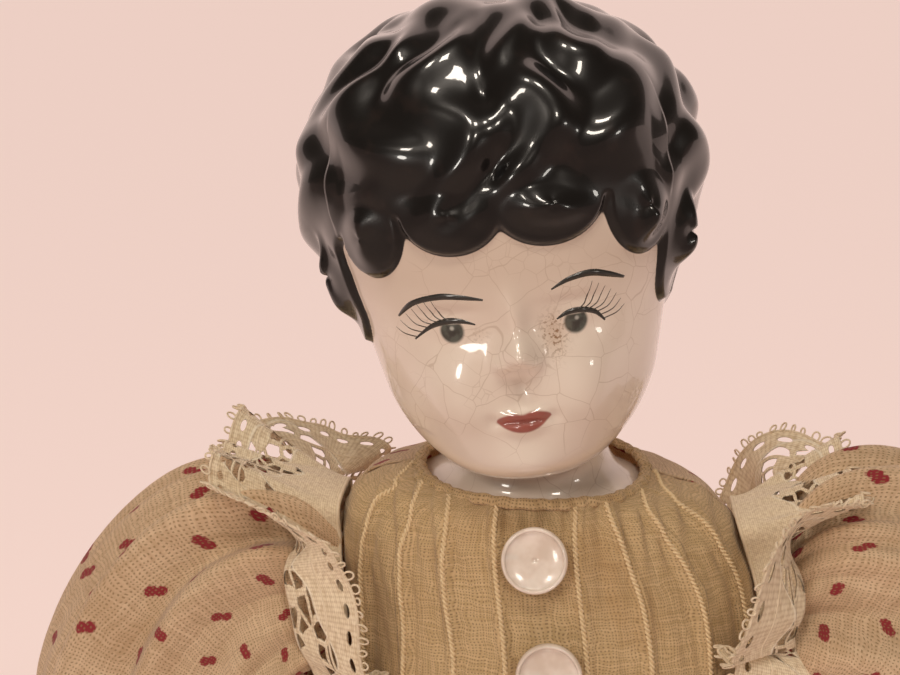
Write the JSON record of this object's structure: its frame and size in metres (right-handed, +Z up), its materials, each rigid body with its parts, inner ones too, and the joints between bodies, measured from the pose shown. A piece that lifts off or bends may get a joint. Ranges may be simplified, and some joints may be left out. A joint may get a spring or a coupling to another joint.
{
  "type": "china shoulder-head doll",
  "caption": "Standing cloth-bodied doll with a glazed china shoulder head, forearms and booted legs, in a tucked bodice, dotted voile dress and lace ruffles; limbs hinge at flat seams.",
  "frame": {"origin": "on the floor, midway between the two boot soles, under the middle of the body", "axes": "+Z up along the standing doll, the doll faces -Y, +X is the doll's own left"},
  "size_m": [0.1726, 0.1134, 0.4174],
  "materials": {
    "glazed_china": "white glazed china with painted black hair, fine crazing",
    "body_cotton": "plain unbleached cotton",
    "cream_voile": "sheer cream voile with corded tucks",
    "dotted_voile": "sheer voile with small red dots",
    "white_cotton": "fine white cotton",
    "cream_lace": "cream bobbin lace",
    "linen_string": "waxed linen string",
    "pearl_shell": "mother-of-pearl shell, polished"
  },
  "bodies": {
    "torso": {"shoulder_head": "glazed_china", "plate_stitch_front_left": "linen_string", "plate_stitch_front_right": "linen_string", "plate_stitch_back_left": "linen_string", "plate_stitch_back_right": "linen_string", "torso_body": "body_cotton", "bodice_front": "cream_voile", "bodice_back_left": "cream_voile", "bodice_back_right": "cream_voile", "placket": "cream_voile", "neck_binding": "cream_voile", "waistband": "cream_voile", "petticoat_band": "white_cotton", "petticoat": "white_cotton", "skirt": "dotted_voile", "drawers_hips": "white_cotton", "lace_ruffle_left": "cream_lace", "lace_ruffle_right": "cream_lace", "hip_seam_left": "linen_string", "hip_seam_right": "linen_string", "button_1": "pearl_shell", "button_2": "pearl_shell", "button_3": "pearl_shell", "button_4": "pearl_shell", "button_5": "pearl_shell", "back_button_1": "pearl_shell", "back_button_2": "pearl_shell", "back_button_3": "pearl_shell"},
    "arm_left": {"upper_arm_left": "body_cotton", "elbow_seam_left": "linen_string", "sleeve_left": "dotted_voile", "sleeve_band_left": "cream_voile"},
    "forearm_left": {"elbow_cloth_left": "body_cotton", "forearm_left": "glazed_china", "arm_tie_left": "linen_string"},
    "thigh_left": {"thigh_left": "body_cotton", "knee_seam_left": "linen_string", "drawers_left": "white_cotton"},
    "calf_left": {"calf_cloth_left": "body_cotton", "leg_tie_left": "linen_string", "lower_leg_left": "glazed_china"},
    "arm_right": {"upper_arm_right": "body_cotton", "elbow_seam_right": "linen_string", "sleeve_right": "dotted_voile", "sleeve_band_right": "cream_voile"},
    "forearm_right": {"elbow_cloth_right": "body_cotton", "forearm_right": "glazed_china", "arm_tie_right": "linen_string"},
    "thigh_right": {"thigh_right": "body_cotton", "knee_seam_right": "linen_string", "drawers_right": "white_cotton"},
    "calf_right": {"calf_cloth_right": "body_cotton", "leg_tie_right": "linen_string", "lower_leg_right": "glazed_china"}
  },
  "joints": [
    {"name": "shoulder_left", "type": "hinge", "parent": "torso", "child": "arm_left", "pos_m": [0.0352, 0, 0.318], "axis": [-1, 0, 0], "range_deg": [-30, 120], "deforming": ["lace_ruffle_left"]},
    {"name": "elbow_left", "type": "hinge", "parent": "arm_left", "child": "forearm_left", "pos_m": [0.06051, 0, 0.25978], "axis": [-0.9703, 0, -0.2419], "range_deg": [0, 85]},
    {"name": "shoulder_right", "type": "hinge", "parent": "torso", "child": "arm_right", "pos_m": [-0.0352, 0, 0.318], "axis": [-1, 0, 0], "range_deg": [-30, 120], "deforming": ["lace_ruffle_right"]},
    {"name": "elbow_right", "type": "hinge", "parent": "arm_right", "child": "forearm_right", "pos_m": [-0.06051, 0, 0.25978], "axis": [-0.9703, 0, 0.2419], "range_deg": [0, 85]},
    {"name": "hip_left", "type": "hinge", "parent": "torso", "child": "thigh_left", "pos_m": [0.0156, 0, 0.205], "axis": [-1, 0, 0], "range_deg": [-20, 88], "deforming": ["drawers_left", "skirt", "petticoat"]},
    {"name": "knee_left", "type": "hinge", "parent": "thigh_left", "child": "calf_left", "pos_m": [0.0156, 0, 0.115], "axis": [1, 0, 0], "range_deg": [0, 85]},
    {"name": "hip_right", "type": "hinge", "parent": "torso", "child": "thigh_right", "pos_m": [-0.0156, 0, 0.205], "axis": [-1, 0, 0], "range_deg": [-20, 88], "deforming": ["drawers_right", "drawers_hips"]},
    {"name": "knee_right", "type": "hinge", "parent": "thigh_right", "child": "calf_right", "pos_m": [-0.0156, 0, 0.115], "axis": [1, 0, 0], "range_deg": [0, 85]}
  ]
}
